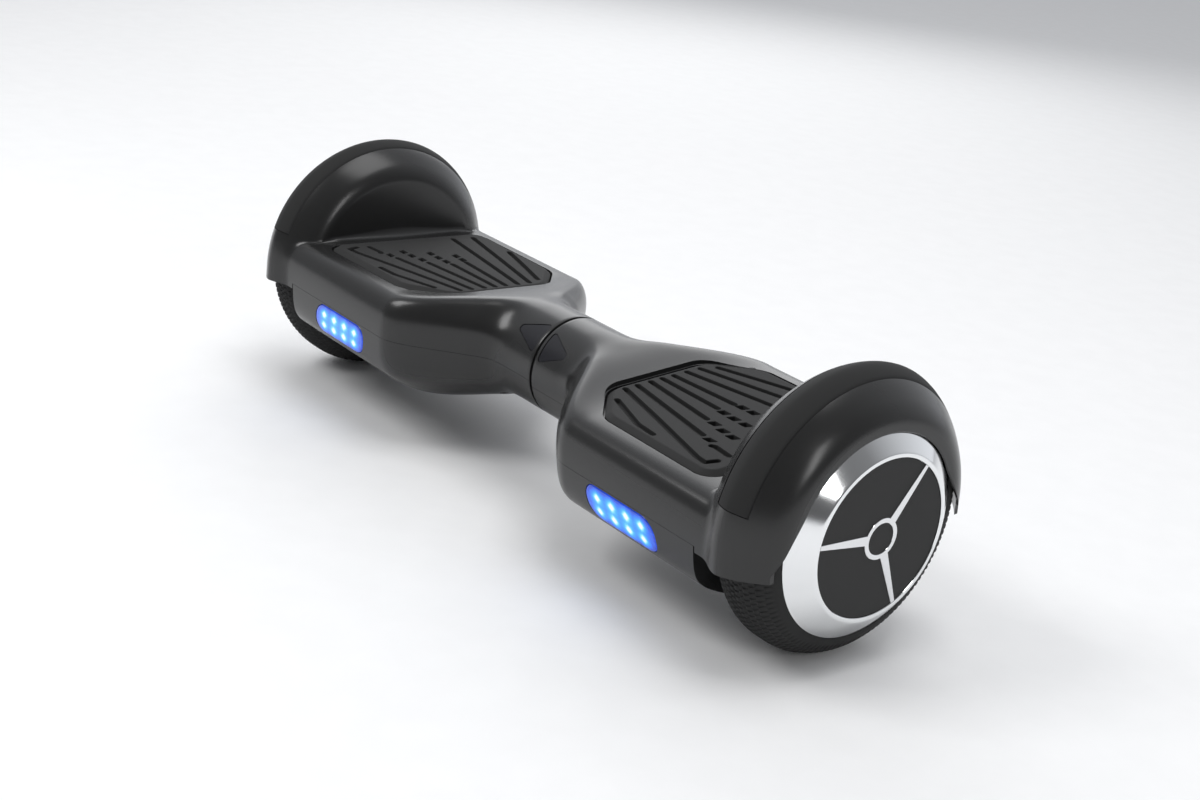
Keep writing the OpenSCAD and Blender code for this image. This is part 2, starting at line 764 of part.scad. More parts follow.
module right_light_lens() { color("#2a7cff") right_side() light_lens(); }
module left_light_board() { color("#e8f4ff") left_side() light_board(); }
module right_light_board() { color("#e8f4ff") right_side() light_board(); }
module left_indicator_window() { color("#0a0d12") left_side() indicator_window(); }
module right_indicator_window() { color("#0a0d12") right_side() indicator_window(); }
module left_gyro_board() { color("#1f5a36") left_side() gyro_board(); }
module right_gyro_board() { color("#1f5a36") right_side() gyro_board(); }
module left_foot_pad() { color("#202022") left_side() foot_pad(); }
module right_foot_pad() { color("#202022") right_side() foot_pad(); }
module left_pad_plungers() { color("#2c2c2c") left_side() pad_plungers(); }
module right_pad_plungers() { color("#2c2c2c") right_side() pad_plungers(); }
module left_axle() { color("#9da0a5") left_side() axle(); }
module right_axle() { color("#9da0a5") right_side() axle(); }
module left_stator() { color("#5c5f66") left_side() stator(); }
module right_stator() { color("#5c5f66") right_side() stator(); }
module left_windings() { color("#b4652a") left_side() windings(); }
module right_windings() { color("#b4652a") right_side() windings(); }
module left_tyre() { color("#151515") left_side() tyre(); }
module right_tyre() { color("#151515") right_side() tyre(); }
module left_rim() { color("#2b2c2e") left_side() rim(); }
module right_rim() { color("#2b2c2e") right_side() rim(); }
module left_motor_cover() { color("#3a3b3e") left_side() motor_cover(); }
module right_motor_cover() { color("#3a3b3e") right_side() motor_cover(); }
module left_magnets() { color("#7c8087") left_side() magnets(); }
module right_magnets() { color("#7c8087") right_side() magnets(); }
module left_bearings() { color("#b9bcc2") left_side() bearings(); }
module right_bearings() { color("#b9bcc2") right_side() bearings(); }
module left_rim_cover() { color("#c9ccd1") left_side() rim_cover(); }
module right_rim_cover() { color("#c9ccd1") right_side() rim_cover(); }
module left_hub_disc() { color("#1a1a1b") left_side() hub_disc(); }
module right_hub_disc() { color("#1a1a1b") right_side() hub_disc(); }
module left_hub_spokes() { color("#d2d3d3") left_side() hub_spokes(); }
module right_hub_spokes() { color("#d2d3d3") right_side() hub_spokes(); }
module left_frame() { color("#9a9ca0") left_side() frame_body(tube_radius + fit); }
module right_frame() {
    color("#9a9ca0") right_side() difference() {
        frame_body(bush_radius + fit);
        stop_slot();
    }
}
module board_pivot_tube() { color("#8d9096") translate([0, 0, axle_height]) pivot_tube(); }
module board_twist_stop_pin() { color("#b9bcc2") translate([0, 0, axle_height]) twist_stop_pin(); }
module board_pivot_bushes() { color("#b08d4f") right_side() pivot_bushes(); }
module board_pivot_circlip() { color("#6f7277") translate([0, 0, axle_height]) pivot_circlip(); }
module board_neck_seal() { color("#0d0d0d") translate([0, 0, axle_height]) neck_seal(); }
module board_power_harness() { color("#222831") translate([0, 0, axle_height]) power_harness(); }
module board_battery_pack() { color("#2f4f8f") right_side() battery_pack(); }
module board_main_board() { color("#2b6b45") left_side() main_board(); }
module board_power_button() { color("#2b2b2d") left_side() power_button(); }
module board_power_switch_body() { color("#3a3a3c") left_side() power_switch_body(); }
module board_charge_port() { color("#4a4b4e") left_side() charge_port(); }
module board_charge_port_cap() { color("#1a1a1a") left_side() charge_port_cap(); }

left_top_shell();
right_top_shell();
left_bottom_shell();
right_bottom_shell();
left_fender_trim();
right_fender_trim();
left_frame();
right_frame();
left_axle_clamp();
right_axle_clamp();
left_clamp_bolts();
right_clamp_bolts();
left_shell_screws();
right_shell_screws();
left_light_lens();
right_light_lens();
left_light_board();
right_light_board();
left_indicator_window();
right_indicator_window();
left_gyro_board();
right_gyro_board();
left_foot_pad();
right_foot_pad();
left_pad_plungers();
right_pad_plungers();
left_axle();
right_axle();
left_stator();
right_stator();
left_windings();
right_windings();
left_tyre();
right_tyre();
left_rim();
right_rim();
left_motor_cover();
right_motor_cover();
left_magnets();
right_magnets();
left_bearings();
right_bearings();
left_rim_cover();
right_rim_cover();
left_hub_disc();
right_hub_disc();
left_hub_spokes();
right_hub_spokes();
board_pivot_tube();  // pivot_tube
board_pivot_bushes();  // pivot_bushes
board_pivot_circlip();  // pivot_circlip
board_twist_stop_pin();  // twist_stop_pin
board_neck_seal();  // neck_seal
board_power_harness();  // power_harness
board_battery_pack();  // battery_pack
board_main_board();  // main_board
board_power_button();  // power_button
board_power_switch_body();  // power_switch_body
board_charge_port();  // charge_port
board_charge_port_cap();  // charge_port_cap
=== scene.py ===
"""Looks of the self balancing board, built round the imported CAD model.

Pieces are modelled in the frame of one half, in millimetres: the wheel is at +X,
the axle line at Z = 0 and the lights face -Y. place() puts them on a side.
The dimensions in capitals repeat those of part.scad.
"""

import json
import math

import bmesh
import bpy
import numpy as np
from mathutils import Matrix, Vector

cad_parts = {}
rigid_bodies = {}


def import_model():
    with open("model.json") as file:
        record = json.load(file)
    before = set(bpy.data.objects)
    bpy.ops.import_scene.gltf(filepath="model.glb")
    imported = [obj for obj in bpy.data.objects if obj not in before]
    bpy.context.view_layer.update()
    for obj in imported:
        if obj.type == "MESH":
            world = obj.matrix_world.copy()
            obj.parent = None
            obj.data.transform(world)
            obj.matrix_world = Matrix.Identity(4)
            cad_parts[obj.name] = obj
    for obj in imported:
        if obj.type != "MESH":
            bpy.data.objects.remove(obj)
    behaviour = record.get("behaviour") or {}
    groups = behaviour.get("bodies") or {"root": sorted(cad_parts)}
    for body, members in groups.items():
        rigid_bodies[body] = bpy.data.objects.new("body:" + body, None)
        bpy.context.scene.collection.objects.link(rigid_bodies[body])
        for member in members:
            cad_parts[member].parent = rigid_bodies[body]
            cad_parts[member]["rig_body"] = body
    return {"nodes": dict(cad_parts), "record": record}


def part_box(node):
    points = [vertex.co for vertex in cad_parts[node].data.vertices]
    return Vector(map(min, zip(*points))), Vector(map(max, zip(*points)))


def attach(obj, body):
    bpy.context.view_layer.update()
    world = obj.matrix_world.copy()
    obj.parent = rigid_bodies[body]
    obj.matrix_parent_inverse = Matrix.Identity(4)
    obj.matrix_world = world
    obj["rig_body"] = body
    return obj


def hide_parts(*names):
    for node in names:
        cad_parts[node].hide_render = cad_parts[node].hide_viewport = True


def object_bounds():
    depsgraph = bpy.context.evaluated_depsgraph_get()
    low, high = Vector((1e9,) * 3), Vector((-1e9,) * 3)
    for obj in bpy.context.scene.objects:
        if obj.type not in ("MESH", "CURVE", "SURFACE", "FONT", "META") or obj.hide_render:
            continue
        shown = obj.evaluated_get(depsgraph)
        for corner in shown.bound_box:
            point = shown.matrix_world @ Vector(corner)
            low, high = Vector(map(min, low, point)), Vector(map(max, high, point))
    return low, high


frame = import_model()
NODES = frame["nodes"]
cad_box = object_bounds()
SIDES = ("left", "right")
MM = 0.001

HUB_FACE = cad_box[1].x / MM
TYRE_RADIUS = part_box("left_tyre")[1].z / 2 / MM
REST_TWIST = 6
NECK_RADIUS = 36
BODY_HALF_WIDTH = 89
DECK = 25.5
BELLY = 53
WALL = 2.6
PARTING = -6
FENDER_WALL = 228
FENDER_FACE = 286.2
CROWN_X = 256.5
CROWN_RADIUS = 94.9
CROWN_FALL, CROWN_POWER = 0.0944, 1.6
SKIRT = -10
SHOULDER_TILT, SHOULDER_DROP = 48, 5.5
SIDE_LEAN, SIDE_REACH = 14, 94
UNDER_TILT, UNDER_REACH = 62, 69.5
SIDE_TILT, SIDE_MIDDLE, SIDE_INSET = 11, -20, 1.8
PAD_TOP = 27.5
DISC_RADIUS = 50
LIP_RADIUS = 52.75
COVER_RADIUS = 67.3


# ---------- camera, floor and light ----------
# Angles of the camera in degrees, its distance and sideways shifts in metres, its lens in millimetres
CAMERA_AZIMUTH, CAMERA_ELEVATION, CAMERA_ROLL = 48.97, 20.41, 7.84
CAMERA_DISTANCE, CAMERA_RIGHT, CAMERA_DOWN = 1.219, 0.0189, 0.0228
CAMERA_LENS, CAMERA_SENSOR = 53.22, 36


def make_camera():
    azimuth, elevation = math.radians(CAMERA_AZIMUTH), math.radians(CAMERA_ELEVATION)
    roll = math.radians(CAMERA_ROLL)
    back = Vector((math.sin(azimuth) * math.cos(elevation),
                   -math.cos(azimuth) * math.cos(elevation), math.sin(elevation)))
    level = Vector((0, 0, 1)).cross(back).normalized()
    up = back.cross(level)
    right = math.cos(roll) * level + math.sin(roll) * up
    up = -math.sin(roll) * level + math.cos(roll) * up
    axle = Vector((0, 0, TYRE_RADIUS * MM))
    place = back * CAMERA_DISTANCE + right * CAMERA_RIGHT - up * CAMERA_DOWN + axle
    data = bpy.data.cameras.new("camera")
    data.sensor_width = CAMERA_SENSOR
    data.lens = CAMERA_LENS
    camera = bpy.data.objects.new("camera", data)
    bpy.context.scene.collection.objects.link(camera)
    turn = Matrix((right, up, back)).transposed().to_4x4()
    camera.matrix_world = Matrix.Translation(place) @ turn
    bpy.context.scene.camera = camera


def area_light(name, place, target, size, power, colour=(1, 1, 1)):
    data = bpy.data.lights.new(name, "AREA")
    data.shape = "RECTANGLE"
    data.size, data.size_y = size
    data.energy = power
    data.color = colour
    lamp = bpy.data.objects.new(name, data)
    bpy.context.scene.collection.objects.link(lamp)
    lamp.location = place
    lamp.rotation_mode = "QUATERNION"
    lamp.rotation_quaternion = (Vector(target) - Vector(place)).to_track_quat("-Z", "Y")
    return lamp


def make_studio():
    world = bpy.data.worlds.new("studio")
    bpy.context.scene.world = world
    world.use_nodes = True
    nodes, links = world.node_tree.nodes, world.node_tree.links
    # A bright wall behind the board on the left, falling off towards the front
    place = nodes.new("ShaderNodeTexCoord")
    facing = nodes.new("ShaderNodeVectorMath")
    facing.operation = "DOT_PRODUCT"
    facing.inputs[1].default_value = Vector((-0.62, 0.76, 0.18)).normalized()
    ramp = nodes.new("ShaderNodeValToRGB")
    ramp.color_ramp.elements[0].position = 0.0
    ramp.color_ramp.elements[0].color = (0.07, 0.07, 0.072, 1)
    ramp.color_ramp.elements[1].position = 0.9
    ramp.color_ramp.elements[1].color = (0.86, 0.88, 0.92, 1)
    step = ramp.color_ramp.elements.new(0.45)
    step.color = (0.22, 0.223, 0.23, 1)
    level = nodes.new("ShaderNodeMapRange")
    level.inputs["From Min"].default_value = -1
    links.new(place.outputs["Generated"], facing.inputs[0])
    links.new(facing.outputs["Value"], level.inputs["Value"])
    links.new(level.outputs["Result"], ramp.inputs["Fac"])
    links.new(ramp.outputs["Color"], nodes["Background"].inputs["Color"])
    area_light("key_softbox", (-0.7, -1.3, 1.6), (0, 0, 0.05), (0.9, 0.9), 16)
    area_light("back_softbox", (-1.6, 1.4, 1.2), (0, 0, 0.05), (1.6, 1.2), 10)
    area_light("top_softbox", (0.3, 0.2, 2.2), (0, 0, 0.05), (1.2, 1.2), 14)
    area_light("wheel_strip", (1.9, -0.3, 0.95), (0.25, 0, 0.08), (0.3, 0.8), 5)
    bpy.context.scene.view_settings.view_transform = "Standard"
    reach = 6
    corners = [(-reach, -reach, 0), (reach, -reach, 0), (reach, reach, 0), (-reach, reach, 0)]
    floor = new_object("floor", corners, [(0, 1, 2, 3)])
    floor.data.materials.append(surface("studio_floor", (0.97, 0.97, 0.97), rough=(0.8, 0.9),
                                        level=0.1, tint=0.01, bump=0.01))


# ---------- materials ----------
def surface(name, colour, rough=(0.35, 0.45), tint=0.12, cloud=35, grain=900, bump=0.15,
            depth=0.00008, metallic=0, level=0.5, coat=0, coat_rough=0.1, pattern=None, sunk=None):
    """A procedural finish: clouded colour, uneven gloss and a moulded, cast or spun grain.

    sunk names a UV map that paints shade into the finish below the top of a piece, darkening it towards near
    black, and dulls it there.
    """
    made = bpy.data.materials.get(name)
    if made:
        return made
    made = bpy.data.materials.new(name)
    made.use_nodes = True
    nodes, links = made.node_tree.nodes, made.node_tree.links
    shader = nodes["Principled BSDF"]
    shader.inputs["Metallic"].default_value = metallic
    shader.inputs["Specular IOR Level"].default_value = level
    shader.inputs["Coat Weight"].default_value = coat
    shader.inputs["Coat Roughness"].default_value = coat_rough
    place = nodes.new("ShaderNodeTexCoord")

    clouds = nodes.new("ShaderNodeTexNoise")
    clouds.inputs["Scale"].default_value = cloud
    clouds.inputs["Detail"].default_value = 5
    links.new(place.outputs["Object"], clouds.inputs["Vector"])
    ramp = nodes.new("ShaderNodeValToRGB")
    dark = [c * (1 - tint) for c in colour]
    light = [min(1, c * (1 + tint)) for c in colour]
    ramp.color_ramp.elements[0].position = 0.35
    ramp.color_ramp.elements[0].color = (*dark, 1)
    ramp.color_ramp.elements[1].position = 0.65
    ramp.color_ramp.elements[1].color = (*light, 1)
    links.new(clouds.outputs["Fac"], ramp.inputs["Fac"])
    links.new(ramp.outputs["Color"], shader.inputs["Base Color"])
    painted_shade_mask = None
    if sunk:
        depths = nodes.new("ShaderNodeUVMap")
        depths.uv_map = sunk
        painted_shade_mask = nodes.new("ShaderNodeSeparateXYZ")
        links.new(depths.outputs["UV"], painted_shade_mask.inputs["Vector"])
        # Painted shade: below the top of a piece the colour is mixed towards near black
        shadow = nodes.new("ShaderNodeMix")
        shadow.data_type = "RGBA"
        links.new(painted_shade_mask.outputs["X"], shadow.inputs[0])
        links.new(ramp.outputs["Color"], shadow.inputs[6])
        shadow.inputs[7].default_value = (0.0006, 0.0006, 0.0006, 1)
        links.new(shadow.outputs[2], shader.inputs["Base Color"])

    if pattern == "spun":
        fine = nodes.new("ShaderNodeTexNoise")
        stretch = nodes.new("ShaderNodeMapping")
        stretch.inputs["Scale"].default_value = (grain, 6, 6)
        links.new(place.outputs["Object"], stretch.inputs["Vector"])
        links.new(stretch.outputs["Vector"], fine.inputs["Vector"])
        fine.inputs["Scale"].default_value = 1
    elif pattern == "leather":
        fine = nodes.new("ShaderNodeTexVoronoi")
        fine.feature = "SMOOTH_F1"
        fine.inputs["Scale"].default_value = grain
        fine.inputs["Smoothness"].default_value = 0.6
        links.new(place.outputs["Object"], fine.inputs["Vector"])
    else:
        fine = nodes.new("ShaderNodeTexNoise")
        fine.inputs["Scale"].default_value = grain
        fine.inputs["Detail"].default_value = 3
        links.new(place.outputs["Object"], fine.inputs["Vector"])
    height = fine.outputs["Distance" if pattern == "leather" else "Fac"]

    gloss = nodes.new("ShaderNodeMapRange")
    gloss.inputs["From Min"].default_value = 0.3
    gloss.inputs["From Max"].default_value = 0.7
    gloss.inputs["To Min"].default_value = rough[0]
    gloss.inputs["To Max"].default_value = rough[1]
    links.new(clouds.outputs["Fac"], gloss.inputs["Value"])
    links.new(gloss.outputs["Result"], shader.inputs["Roughness"])
    if painted_shade_mask:
        dull = nodes.new("ShaderNodeMath")
        dull.operation = "MAXIMUM"
        links.new(gloss.outputs["Result"], dull.inputs[0])
        links.new(painted_shade_mask.outputs["X"], dull.inputs[1])
        links.new(dull.outputs[0], shader.inputs["Roughness"])

    relief = nodes.new("ShaderNodeBump")
    relief.inputs["Strength"].default_value = bump
    relief.inputs["Distance"].default_value = depth
    links.new(height, relief.inputs["Height"])
    links.new(relief.outputs["Normal"], shader.inputs["Normal"])
    return made


def lens_material():
    """Blue moulded lens: deep blue at its rim, lit cyan inside, with a white spot over each lamp."""
    made = bpy.data.materials.new("lit_blue_lens")
    made.use_nodes = True
    nodes, links = made.node_tree.nodes, made.node_tree.links
    shader = nodes["Principled BSDF"]
    shader.inputs["Roughness"].default_value = 0.12
    shader.inputs["Coat Weight"].default_value = 0.6
    shader.inputs["Coat Roughness"].default_value = 0.05
    shader.inputs["Emission Strength"].default_value = 1.0
    uv = nodes.new("ShaderNodeUVMap")
    uv.uv_map = "lens"

    def maths(operation, a, b=None, c=None):
        node = nodes.new("ShaderNodeMath")
        node.operation = operation
        for socket, value in zip(node.inputs, (a, b, c)):
            if value is None:
                continue
            if isinstance(value, (int, float)):
                socket.default_value = value
            else:
                links.new(value, socket)
        return node.outputs[0]

    split = nodes.new("ShaderNodeSeparateXYZ")
    links.new(uv.outputs["UV"], split.inputs["Vector"])
    u, v = split.outputs["X"], split.outputs["Y"]
    # u and v count lamp pitches from the middle of the lens
    along = maths("SUBTRACT", maths("FRACT", maths("ADD", u, 20.0)), 0.5)
    across = maths("SUBTRACT", maths("ABSOLUTE", v), 0.5)
    far = maths("ADD", maths("MULTIPLY", along, along),
                maths("MULTIPLY", maths("MULTIPLY", across, across), 0.45))
    inside = maths("LESS_THAN", maths("ABSOLUTE", u), 2.0)
    spot = maths("MULTIPLY", maths("EXPONENT", maths("MULTIPLY", far, -34.0)), inside)
    # Fine rays along and across the lens from each lamp
    near = maths("MULTIPLY", maths("ABSOLUTE", along), maths("ABSOLUTE", across))
    rays = maths("EXPONENT", maths("SUBTRACT", maths("MULTIPLY", near, -90.0), maths("MULTIPLY", far, 11.0)))
    spot = maths("ADD", spot, maths("MULTIPLY", maths("MULTIPLY", rays, inside), 0.45))
    halo = maths("MULTIPLY", maths("EXPONENT", maths("MULTIPLY", far, -7.0)), inside)
    streaks = nodes.new("ShaderNodeTexNoise")
    streaks.inputs["Scale"].default_value = 4.0
    links.new(uv.outputs["UV"], streaks.inputs["Vector"])
    wide = maths("MULTIPLY", maths("ABSOLUTE", u), 0.42)
    tall = maths("MULTIPLY", maths("ABSOLUTE", v), 0.9)
    edge = maths("ADD", maths("POWER", wide, 3.0), maths("POWER", tall, 3.0))
    glow = maths("SUBTRACT", 1.0, maths("MULTIPLY", edge, 0.55))
    level = maths("ADD", maths("MULTIPLY", glow, 0.36), maths("MULTIPLY", halo, 0.34))
    level = maths("ADD", level, maths("MULTIPLY", spot, 0.42))
    level = maths("ADD", level, maths("MULTIPLY", maths("SUBTRACT", streaks.outputs["Fac"], 0.5), 0.16))
    ramp = nodes.new("ShaderNodeValToRGB")
    ramp.color_ramp.elements[0].position = 0.0
    ramp.color_ramp.elements[0].color = (0.0, 0.008, 0.16, 1)
    ramp.color_ramp.elements[1].position = 1.0
    ramp.color_ramp.elements[1].color = (0.95, 1.0, 1.0, 1)
    for place, colour in ((0.18, (0.0, 0.05, 0.65)), (0.33, (0.0, 0.19, 1.0)),
                          (0.55, (0.03, 0.46, 1.0)), (0.75, (0.28, 0.82, 1.0))):
        step = ramp.color_ramp.elements.new(place)
        step.color = (*colour, 1)
    links.new(level, ramp.inputs["Fac"])
    links.new(ramp.outputs["Color"], shader.inputs["Emission Color"])
    tint = nodes.new("ShaderNodeValToRGB")
    tint.color_ramp.elements[0].color = (0.0, 0.006, 0.05, 1)
    tint.color_ramp.elements[1].color = (0.0, 0.03, 0.12, 1)
    links.new(streaks.outputs["Fac"], tint.inputs["Fac"])
    links.new(tint.outputs["Color"], shader.inputs["Base Color"])
    return made


def finish_of(slot):
    """The finish of each of the record's material slots."""
    if slot == "blue_lens":
        return bpy.data.materials.get("lit_blue_lens") or lens_material()
    looks = {
        "shell_plastic": dict(colour=(0.0028, 0.0028, 0.0030), rough=(0.46, 0.54), level=0.055,
                              grain=1100, bump=0.7, depth=0.0002),
        "textured_rubber": dict(colour=(0.006, 0.006, 0.0062), rough=(0.42, 0.52), level=0.26,
                                pattern="leather", grain=520, bump=1.0, depth=0.0006),
        # The groove map paints shade into the pad's grooves
        "pad_rubber": dict(colour=(0.024, 0.024, 0.025), rough=(0.32, 0.40), level=0.7,
                           grain=1000, bump=0.4, depth=0.00012, sunk="groove"),
        "tyre_rubber": dict(colour=(0.006, 0.006, 0.006), rough=(0.58, 0.72), level=0.12,
                            grain=500, bump=0.5, depth=0.0002),
        "chrome_trim": dict(colour=(0.74, 0.74, 0.71), rough=(0.05, 0.10), metallic=1, tint=0.02,
                            pattern="spun", grain=700, bump=0.04, depth=0.00002),
        "satin_trim": dict(colour=(0.62, 0.62, 0.61), rough=(0.34, 0.42), metallic=0.6, tint=0.03,
                           grain=1500, bump=0.1),
        "disc_plastic": dict(colour=(0.012, 0.012, 0.013), rough=(0.55, 0.66), level=0.22,
                             grain=1300, bump=0.3, depth=0.0001),
        "dark_window": dict(colour=(0.004, 0.005, 0.007), rough=(0.06, 0.10), coat=0.8,
                            grain=60, bump=0.05),
        "seal_rubber": dict(colour=(0.006, 0.006, 0.006), rough=(0.6, 0.75), level=0.2),
        "black_steel": dict(colour=(0.03, 0.03, 0.032), rough=(0.3, 0.45), metallic=0.7),
        "cast_frame": dict(colour=(0.42, 0.43, 0.44), rough=(0.45, 0.6), metallic=0.9,
                           grain=420, bump=0.5, depth=0.0003),
        "clamp_alloy": dict(colour=(0.45, 0.46, 0.47), rough=(0.35, 0.5), metallic=0.9),
        "led_board": dict(colour=(0.75, 0.8, 0.85), rough=(0.3, 0.5)),
        "circuit_board": dict(colour=(0.02, 0.13, 0.06), rough=(0.3, 0.45), coat=0.3, cloud=260,
                              tint=0.4),
        "black_nylon": dict(colour=(0.02, 0.02, 0.021), rough=(0.45, 0.55)),
        "axle_steel": dict(colour=(0.55, 0.56, 0.58), rough=(0.2, 0.32), metallic=1, pattern="spun"),
        "stator_iron": dict(colour=(0.2, 0.2, 0.21), rough=(0.4, 0.55), metallic=0.9,
                            pattern="spun", grain=2000, bump=0.5),
        "copper_wire": dict(colour=(0.62, 0.24, 0.09), rough=(0.25, 0.4), metallic=0.9, tint=0.25,
                            cloud=400),
        "rim_alloy": dict(colour=(0.06, 0.06, 0.065), rough=(0.35, 0.5), metallic=0.7),
        "magnet_metal": dict(colour=(0.5, 0.5, 0.52), rough=(0.2, 0.3), metallic=1),
        "bearing_steel": dict(colour=(0.65, 0.66, 0.68), rough=(0.12, 0.25), metallic=1, pattern="spun"),
        "bush_bronze": dict(colour=(0.5, 0.33, 0.14), rough=(0.3, 0.45), metallic=0.9, tint=0.2),
        "cable_sleeve": dict(colour=(0.02, 0.025, 0.03), rough=(0.5, 0.65), grain=500, bump=0.6),
        "battery_wrap": dict(colour=(0.03, 0.07, 0.24), rough=(0.25, 0.4), coat=0.3),
        "heat_sink_board": dict(colour=(0.05, 0.16, 0.09), rough=(0.3, 0.5), cloud=220, tint=0.4),
        "button_plastic": dict(colour=(0.016, 0.016, 0.018), rough=(0.25, 0.35), level=0.4, grain=1500),
        "socket_plastic": dict(colour=(0.03, 0.03, 0.032), rough=(0.35, 0.5), level=0.4),
    }
    return surface(slot, **looks[slot])


# ---------- mesh building ----------
def new_object(name, points, faces):
    mesh = bpy.data.meshes.new(name)
    mesh.from_pydata([tuple(p) for p in points], [], faces)
    mesh.update()
    made = bpy.data.objects.new(name, mesh)
    bpy.context.scene.collection.objects.link(made)
    return made


def solid(name, points, faces):
    """A closed mesh with its faces turned outwards."""
    made = new_object(name, points, faces)
    build = bmesh.new()
    build.from_mesh(made.data)
    bmesh.ops.remove_doubles(build, verts=build.verts, dist=0.001)
    bmesh.ops.dissolve_degenerate(build, edges=build.edges, dist=0.0005)
    bmesh.ops.recalc_face_normals(build, faces=build.faces)
    if build.calc_volume(signed=True) < 0:
        bmesh.ops.reverse_faces(build, faces=build.faces)
    build.to_mesh(made.data)
    build.free()
    return made


def loft(name, rings, closed=False):
    """A solid through rings of equal length. It is capped at both ends, or closed on itself."""
    n = len(rings[0])
    points = np.concatenate(rings)
    count = len(rings)
    faces = []
    for i in range(count if closed else count - 1):
        j = (i + 1) % count
        for k in range(n):
            m = (k + 1) % n
            faces.append((i * n + k, i * n + m, j * n + m, j * n + k))
    if not closed:
        faces.append(tuple(range(n)))
        faces.append(tuple(count * n - n + k for k in range(n)))
    return solid(name, points, faces)


def polar(name, x, r, angles, closed=False):
    """Rows of stations x and radii r about the axle, one column for each angle."""
    x = np.broadcast_to(x, r.shape)
    rings = [np.stack([x[i], r[i] * np.cos(angles), r[i] * np.sin(angles)], axis=1) for i in range(len(r))]
    return loft(name, rings, closed)


def turned(name, profile, steps=192, closed=True):
    """A profile of (radius, station) points spun about the axle."""
    profile = np.asarray(profile, float)
    angles = np.arange(steps) * 2 * math.pi / steps
    r = np.repeat(profile[:, :1], steps, axis=1)
    return polar(name, profile[:, 1:], r, angles, closed)


def outline(circles, grow=0.0, steps=160):
    """Outline round a set of circles, point by point in the direction it faces."""
    circles = np.asarray(circles, float)
    turn = np.arange(steps) * 2 * math.pi / steps
    look = np.stack([np.cos(turn), np.sin(turn)], axis=1)
    reach = look @ circles[:, :2].T + circles[:, 2]
    pick = reach.argmax(axis=1)
    return circles[pick, :2] + look * (circles[pick, 2] + grow)[:, None]


def stack(name, circles, levels, steps=160):
    """The outline above drawn at levels of (height, growth)."""
    rings = []
    for height, grow in levels:
        flat = outline(circles, grow, steps)
        rings.append(np.column_stack([flat, np.full(len(flat), height)]))
    return loft(name, rings)


def move(made, matrix):
    made.data.transform(matrix)
    if matrix.determinant() < 0:
        made.data.flip_normals()
    return made


def combine(target, cutters, operation="DIFFERENCE"):
    """Carves the cutters out of the target, or joins them to it, one after the other."""
    for cutter in cutters:
        step = target.modifiers.new("carve", "BOOLEAN")
        step.operation = operation
        step.solver = "MANIFOLD"
        step.object = cutter
    settled = target.evaluated_get(bpy.context.evaluated_depsgraph_get())
    mesh = bpy.data.meshes.new_from_object(settled)
    target.modifiers.clear()
    old, target.data = target.data, mesh
    bpy.data.meshes.remove(old)
    for cutter in cutters:
        bpy.data.objects.remove(cutter)
    return target


def shade(made, angle=32):
    """Smooth shading, broken at real edges, with large flats kept flat."""
    mesh = made.data
    mesh.polygons.foreach_set("use_smooth", [True] * len(mesh.polygons))
    mesh.set_sharp_from_angle(angle=math.radians(angle))
    even = made.modifiers.new("even", "WEIGHTED_NORMAL")
    even.keep_sharp = True
    even.weight = 50
    return made


def bezier(a, b, c, steps):
    t = np.linspace(0, 1, steps)[:, None]
    return (1 - t) ** 2 * np.asarray(a) + 2 * t * (1 - t) * np.asarray(b) + t ** 2 * np.asarray(c)


def place(piece, side, name, node, slot):
    """Copies a piece modelled on a half to one side, in place of its CAD node."""
    made = bpy.data.objects.new(name, piece.data.copy())
    bpy.context.scene.collection.objects.link(made)
    lift = Matrix.Translation((0, 0, TYRE_RADIUS))
    turn = Matrix.Scale(-1, 4, (1, 0, 0))
    if side == "right":
        turn = Matrix.Rotation(math.radians(REST_TWIST), 4, "X")
    move(made, Matrix.Scale(MM, 4) @ lift @ turn)
    for modifier in piece.modifiers:
        copy = made.modifiers.new(modifier.name, modifier.type)
        copy.keep_sharp, copy.weight = modifier.keep_sharp, modifier.weight
    made.data.materials.clear()
    made.data.materials.append(finish_of(slot))
    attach(made, NODES[node]["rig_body"])
    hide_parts(node)
    return made


def both_sides(piece, node, slot):
    for side in SIDES:
        place(piece, side, side + "_" + node + "_skin", side + "_" + node, slot)
    bpy.data.objects.remove(piece)


# ---------- body section ----------
def mix(a, b, t):
    return a + (b - a) * t


def ease(a, b, x):
    t = np.clip((x - a) / (b - a), 0, 1)
    return t * t * (3 - 2 * t)


def section_radius(x, angle, inset=0.0):
    """Radius of the body at station x: a circle at the neck, then deck, sides and belly."""
    flare, fall, sag = ease(34, 108, x), ease(45, 115, x), ease(30, 110, x)
    tilt = math.radians(SHOULDER_TILT)
    shoulder = BODY_HALF_WIDTH * math.cos(tilt) + DECK * math.sin(tilt) - SHOULDER_DROP
    # Each flat faces its angle in degrees and lies at its distance from the axle line
    flats = [
        (90, mix(NECK_RADIUS - 1.5, DECK, fall)),
        (SHOULDER_TILT, mix(NECK_RADIUS + 1, shoulder, flare)),
        (0, mix(NECK_RADIUS + 2, BODY_HALF_WIDTH + 1.5, flare)),
        (-SIDE_LEAN, mix(NECK_RADIUS + 1.5, SIDE_REACH, flare)),
        (-UNDER_TILT, mix(NECK_RADIUS + 1, UNDER_REACH, flare)),
        (-90, mix(NECK_RADIUS, BELLY + 0.5, sag)),
    ]
    near = 0
    for turn, reach in flats:
        turn = math.radians(turn)
        facing = np.abs(np.cos(angle)) * math.cos(turn) + np.sin(angle) * math.sin(turn)
        near = near + (np.maximum(0, facing) / (reach - inset)) ** 16
    return mix(NECK_RADIUS - inset, near ** (-1 / 16), ease(25, 60, x))


def crown(x):
    """Radius of the fender's outside at station x."""
    return CROWN_RADIUS - CROWN_FALL * np.abs(x - CROWN_X) ** CROWN_POWER


def blend_max(a, b, reach=4.0):
    """The larger of two radii, with a fillet where they meet."""
    near = np.maximum(reach - np.abs(a - b), 0) / reach
    return np.maximum(a, b) + near * near * reach / 4


